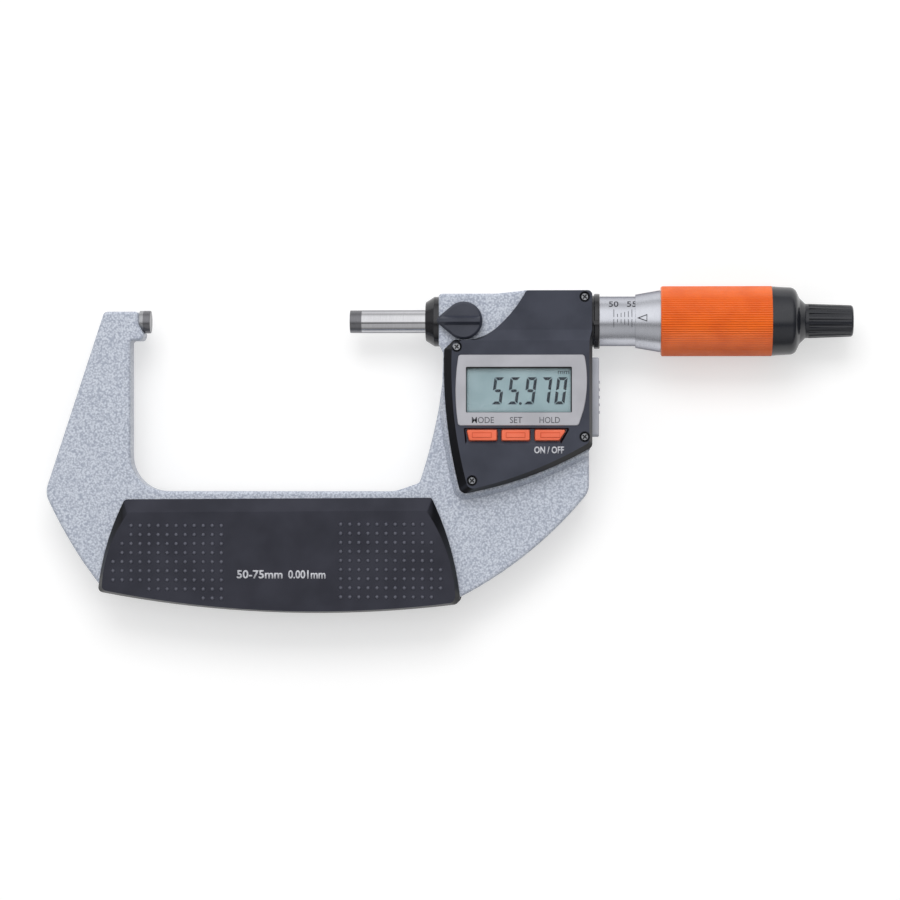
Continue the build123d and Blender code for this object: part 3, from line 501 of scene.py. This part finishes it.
def segment(letter):
    """Corners of one bar of a digit, in a box with its corner at 0, 0."""
    wide, tall, bar, gap = DIGIT_WIDE, DIGIT_TALL, STROKE, SEGMENT_GAP
    middle = tall / 2
    upright = [(0, tall - 2 * gap), (bar, tall - bar - gap), (bar, middle + bar / 2 + gap),
               (0, middle + gap)]
    level = [(2 * gap, tall), (wide - 2 * gap, tall), (wide - bar - gap, tall - bar),
             (bar + gap, tall - bar)]
    if letter == "g":
        half = bar / 2
        return [(gap + half, middle), (bar + gap, middle + half), (wide - bar - gap, middle + half),
                (wide - gap - half, middle), (wide - bar - gap, middle - half),
                (bar + gap, middle - half)]
    corners = level if letter in "ad" else upright
    if letter in "bc":
        corners = [(wide - x, y) for x, y in corners]
    if letter in "cde":
        corners = [(x, tall - y) for x, y in corners]
    return corners


def display_digits():
    """The reading, in slanted seven-bar digits with a decimal point."""
    corner_lists = []
    for digit, right in READING:
        for letter in LIT[digit]:
            corner_lists.append([
                (right - DIGIT_WIDE + x + (y - DIGIT_TALL) * DIGIT_SLANT,
                 DIGIT_TOP - DIGIT_TALL + y) for x, y in segment(letter)])
    point_x, point_y, point_r = 103.72, -23.0, 0.4
    corner_lists.append([(point_x + point_r * math.cos(turn * math.pi / 8),
                          point_y + point_r * math.sin(turn * math.pi / 8)) for turn in range(16)])
    shape = join_shapes([flat_shape(corner_lists), word_shape("mm", 114.1, 117.2, -14.85, -14.0, 0.0)])
    print_flat("display_digits", shape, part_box("lcd_panel")[1].z, DISPLAY_INK)


# Widths of the painted shadow round the display window, in millimetres.
WINDOW_SHADOW_LEFT, WINDOW_SHADOW_RIGHT, WINDOW_SHADOW_BOTTOM, WINDOW_SHADOW_TOP = 0.16, 0.3, 0.1, 0.42


def painted_window_shadow():
    """Painted shadow: a thin black border round the window, widest along its top."""
    low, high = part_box("display_window")
    left, right, bottom, top = low.x / MM, high.x / MM, low.y / MM, high.y / MM
    inner = (left + WINDOW_SHADOW_LEFT, right - WINDOW_SHADOW_RIGHT, bottom + WINDOW_SHADOW_BOTTOM, top - WINDOW_SHADOW_TOP)
    shape = flat_shape([
        [(left, inner[3]), (right, inner[3]), (right, top), (left, top)],
        [(left, bottom), (right, bottom), (right, inner[2]), (left, inner[2])],
        [(left, inner[2]), (inner[0], inner[2]), (inner[0], inner[3]), (left, inner[3])],
        [(inner[1], inner[2]), (right, inner[2]), (right, inner[3]), (inner[1], inner[3])]])
    bmesh.ops.remove_doubles(shape, verts=shape.verts, dist=0.001 * MM)
    print_flat("painted_window_shadow", shape, high.z, SHADE_INK)


# Keys and screws

# Width of the painted shadow round each key's pad.
KEY_EDGE = 0.22
KEY_TOP = 11.3
KEY_FLANGE = 0.5
PAD_WIDE, PAD_TALL = 5.0, 1.1
SCREW_CENTRES = [(121.5, 6.5, 7.8), (86.15, -7.3, 9.5), (121.5, -32.2, 9.5), (90.4, -44.3, 9.5)]
CROSS_FLOOR = 0.45           # of the cross recess, above the seat of the screw's head
CROSS_LONG, CROSS_WIDE, CROSS_TURN = 1.5, 0.4, math.radians(50)


def screw_cross_shade():
    """Painted shade: a black cross in the cross recess of each of the housing's screws, for the shade
    inside the recess.
    """
    corner_lists = []
    for x, y, seat in SCREW_CENTRES:
        reach, half = CROSS_LONG / 2, CROSS_WIDE / 2
        cross = [(reach, -half), (reach, half), (half, half), (half, reach), (-half, reach),
                 (-half, half), (-reach, half), (-reach, -half), (-half, -half), (-half, -reach),
                 (half, -reach), (half, -half)]
        turned = [(x + a * math.cos(CROSS_TURN) - b * math.sin(CROSS_TURN),
                   y + a * math.sin(CROSS_TURN) + b * math.cos(CROSS_TURN)) for a, b in cross]
        shape = flat_shape([turned])
        thicken(shape)
        bmesh.ops.translate(shape, verts=shape.verts, vec=(0, 0, (seat + CROSS_FLOOR) * MM))
        corner_lists.append(shape)
    piece("screw_cross_shade", join_shapes(corner_lists), SHADE_INK, "frame")


def ring_corners(x, y, wide, tall, edge):
    """Four flat strips round a box, each strip as its corners."""
    near = [(x - wide / 2, y - tall / 2), (x + wide / 2, y - tall / 2),
            (x + wide / 2, y + tall / 2), (x - wide / 2, y + tall / 2)]
    far = [(a + math.copysign(edge, a - x), b + math.copysign(edge, b - y)) for a, b in near]
    return [[near[index], near[(index + 1) % 4], far[(index + 1) % 4], far[index]]
            for index in range(4)]


def pad_shadow_ring(key):
    """Painted shadow: a ring of deeper orange round the pad of one key; it moves with the key."""
    low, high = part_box(f"{key}_button")
    left = low.x / MM + KEY_FLANGE
    right = high.x / MM - KEY_FLANGE
    x, y = (left + right) / 2, (low.y + high.y) / 2 / MM
    shape = flat_shape(ring_corners(x, y, PAD_WIDE, PAD_TALL, KEY_EDGE))
    bmesh.ops.remove_doubles(shape, verts=shape.verts, dist=0.001 * MM)
    thicken(shape)
    bmesh.ops.translate(shape, verts=shape.verts, vec=(0, 0, KEY_TOP * MM))
    piece(f"{key}_key_pad_shadow", shape, PAD_SHADOW_ORANGE, f"{key}_key")


# Lettering

BEZEL_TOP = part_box("bezel")[1].z
PLATEAU_TOP = 10.8 * MM
COVER_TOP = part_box("front_cover")[1].z


def key_legends():
    """What each key does, printed on the bezel above it."""
    low, high, weight = -28.43, -26.72, 0.004
    shapes = [word_shape("MODE", 90.37, 96.47, low, high, weight),
              word_shape("SET", 100.88, 104.29, low, high, weight),
              word_shape("HOLD", 109.04, 114.67, low, high, weight)]
    print_flat("key_legends", join_shapes(shapes), BEZEL_TOP, GREY_INK)


def switch_words():
    """The words under the key that also switches on and off."""
    print_flat("switch_words", word_shape("ON / OFF", 107.57, 115.79, -36.84, -34.86, 0.03),
               PLATEAU_TOP, LIGHT_INK)


def range_words():
    """Range and resolution, printed low on the front cover."""
    low, high = -71.6, -69.2
    shapes = [word_shape("50-75mm", 24.9, 37.65, low, high, 0.025),
              word_shape("0.001mm", 39.2, 49.6, low, high, 0.025)]
    print_flat("range_words", join_shapes(shapes), COVER_TOP, LIGHT_INK)


# Grip pips on the covers

PIP_PITCH = 2.52
PIP_R, PIP_RISE = 0.6, 0.3
PIP_RINGS, PIP_SIDES = 3, 10
LEFT_PIPS = (20.56, -56.9, -1, [11, 11, 12, 12, 13, 13, 13, 9, 3])
RIGHT_PIPS = (53.84, -56.5, 1, [10, 10, 11, 11, 11, 12, 12, 12, 11])


def pip_places():
    """Centres of the pips: two groups of rows that start at the inner side and run outwards."""
    places = []
    for start_x, start_y, way, counts in (LEFT_PIPS, RIGHT_PIPS):
        for row, count in enumerate(counts):
            places += [(start_x + way * column * PIP_PITCH, start_y - row * PIP_PITCH)
                       for column in range(count)]
    return places


def cover_pips(name, cover, facing):
    """Low round pips that give the fingers a hold."""
    low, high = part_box(cover)
    ground = (high.z if facing > 0 else -low.z) - INK_SUNK
    mesh = bmesh.new()
    for x, y in pip_places():
        crown = mesh.verts.new((x * MM, y * MM, facing * (ground + PIP_RISE * MM)))
        inner = None
        for ring in range(1, PIP_RINGS + 1):
            share = ring / PIP_RINGS
            height = ground + PIP_RISE * MM * (1 - share ** 2)
            verts = []
            for side in range(PIP_SIDES):
                turn = side * math.tau / PIP_SIDES
                verts.append(mesh.verts.new(((x + PIP_R * share * math.cos(turn)) * MM,
                                             (y + PIP_R * share * math.sin(turn)) * MM,
                                             facing * height)))
            for side in range(PIP_SIDES):
                following = (side + 1) % PIP_SIDES
                corners = [verts[side], verts[following]]
                corners += [crown] if inner is None else [inner[following], inner[side]]
                mesh.faces.new(corners)
            inner = verts
        mesh.faces.new(inner)
    for face in mesh.faces:
        face.smooth = len(face.verts) < PIP_SIDES
    piece(name, mesh, PIP_RUBBER, "frame")


# Studio

DARK_SIDE = 0.1             # the unlit room, and the gap between the two strip lights
SOFT_LIGHTS = [             # from and to, in degrees from straight up towards +Y, and brightness
    (-150, -90, DARK_SIDE),
    (-55, -25, 0.5),        # low strip light
    (-19, -14, DARK_SIDE),
    (0, 50, 1.0),           # main strip light
    (90, 140, 0.4),         # pale wall behind the instrument
]
WORLD_LEVEL = 1.25
LEFT_LEVEL, RIGHT_LEVEL = 0.4, 0.15      # the strips' ends: what is left of the light to the sides
STRIP_END, STRIP_GONE = 0.45, 0.92
KEY_POWER = 4.0
FLOOR_COLOUR = 0.62
FLOOR_GLOW = 0.45


def studio_light():
    """Two soft strip lights along the instrument and a pale wall; light fades from one to the next."""
    world = bpy.data.worlds.new("studio")
    bpy.context.scene.world = world
    world.use_nodes = True
    tree = world.node_tree
    tree.nodes.clear()
    heading = put(tree, "ShaderNodeSeparateXYZ", {
        "Vector": put(tree, "ShaderNodeTexCoord").outputs["Generated"]})
    angle = put(tree, "ShaderNodeMath", {0: heading.outputs["Y"], 1: heading.outputs["Z"]},
                operation="ARCTAN2").outputs[0]
    ramp = put(tree, "ShaderNodeValToRGB",
               {"Fac": stretch(tree, angle, -math.pi, math.pi)})
    stops = ramp.color_ramp.elements
    for stop in stops:
        stop.color = (DARK_SIDE, DARK_SIDE, DARK_SIDE, 1)
    for start, end, brightness in SOFT_LIGHTS:
        for degrees in (start, end):
            stops.new((degrees + 180) / 360).color = (brightness, brightness, brightness, 1)
    level = WORLD_LEVEL
    for away, remaining in ((-1.0, LEFT_LEVEL), (1.0, RIGHT_LEVEL)):
        side = maths(tree, "MULTIPLY", heading.outputs["X"], away)
        level = maths(tree, "MULTIPLY", stretch(tree, side, STRIP_END, STRIP_GONE, 1.0, remaining),
                      level)
    back = put(tree, "ShaderNodeBackground", {"Color": ramp.outputs["Color"], "Strength": level})
    put(tree, "ShaderNodeOutputWorld", {"Surface": back.outputs[0]})

    lamp = bpy.data.lights.new("key_light", "AREA")
    lamp.shape = "RECTANGLE"
    lamp.size, lamp.size_y = 0.7, 0.4
    lamp.energy = KEY_POWER
    holder = bpy.data.objects.new("key_light", lamp)
    bpy.context.scene.collection.objects.link(holder)
    holder.location = (0.05, 0.62, 0.85)
    aim = Vector((0.08, -0.035, 0.0)) - Vector(holder.location)
    holder.rotation_euler = aim.to_track_quat("-Z", "Y").to_euler()
    holder.visible_glossy = False


def studio_floor():
    """A wide pale floor that the instrument lies on, white to the eye but for the shadow."""
    mesh = bmesh.new()
    bmesh.ops.create_grid(mesh, x_segments=1, y_segments=1, size=8.0)
    data = bpy.data.meshes.new("floor")
    mesh.to_mesh(data)
    mesh.free()
    floor = bpy.data.objects.new("floor", data)
    floor.location.z = cad_box[0].z - 0.05 * MM
    bpy.context.scene.collection.objects.link(floor)
    material = bpy.data.materials.new("floor_paper")
    material.use_nodes = True
    tree = material.node_tree
    tree.nodes.clear()
    paper = put(tree, "ShaderNodeBsdfDiffuse", {
        "Color": (FLOOR_COLOUR, FLOOR_COLOUR, FLOOR_COLOUR, 1)})
    path = put(tree, "ShaderNodeLightPath")
    seen = maths(tree, "MAXIMUM", maths(tree, "MAXIMUM", path.outputs["Is Camera Ray"],
                 path.outputs["Is Glossy Ray"]), path.outputs["Is Transmission Ray"])
    glow = put(tree, "ShaderNodeEmission", {"Strength": maths(tree, "MULTIPLY", seen,
                                                              FLOOR_GLOW)})
    both = put(tree, "ShaderNodeAddShader", {0: paper.outputs[0], 1: glow.outputs[0]})
    put(tree, "ShaderNodeOutputMaterial", {"Surface": both.outputs[0]})
    data.materials.append(material)


CAMERA_PLACE = Vector((126.6, -35.85, 968.0)) * MM
CAMERA_AIM = Vector((83.85, -35.85, 0.0)) * MM
LENS = 138.8


def photo_camera():
    """The camera straight in front, with the picture's top towards +Y."""
    data = bpy.data.cameras.new("photo_camera")
    data.lens = LENS
    data.sensor_width = 36.0
    data.clip_start, data.clip_end = 0.05, 30.0
    camera = bpy.data.objects.new("photo_camera", data)
    bpy.context.scene.collection.objects.link(camera)
    back = (CAMERA_PLACE - CAMERA_AIM).normalized()
    right = Vector((0, 1, 0)).cross(back).normalized()
    up = back.cross(right)
    camera.matrix_world = Matrix.Translation(CAMERA_PLACE) @ Matrix(
        (right, up, back)).transposed().to_4x4()
    bpy.context.scene.camera = camera
    bpy.context.scene.view_settings.view_transform = "Standard"


photo_camera()
studio_light()
studio_floor()
dress_frame()
sleeve_marks()
sleeve_numbers()
thimble_index()
display_digits()
painted_window_shadow()
screw_cross_shade()
for key in ("mode", "set", "hold"):
    pad_shadow_ring(key)
key_legends()
switch_words()
range_words()
cover_pips("front_cover_pips", "front_cover", 1)
cover_pips("rear_cover_pips", "rear_cover", -1)
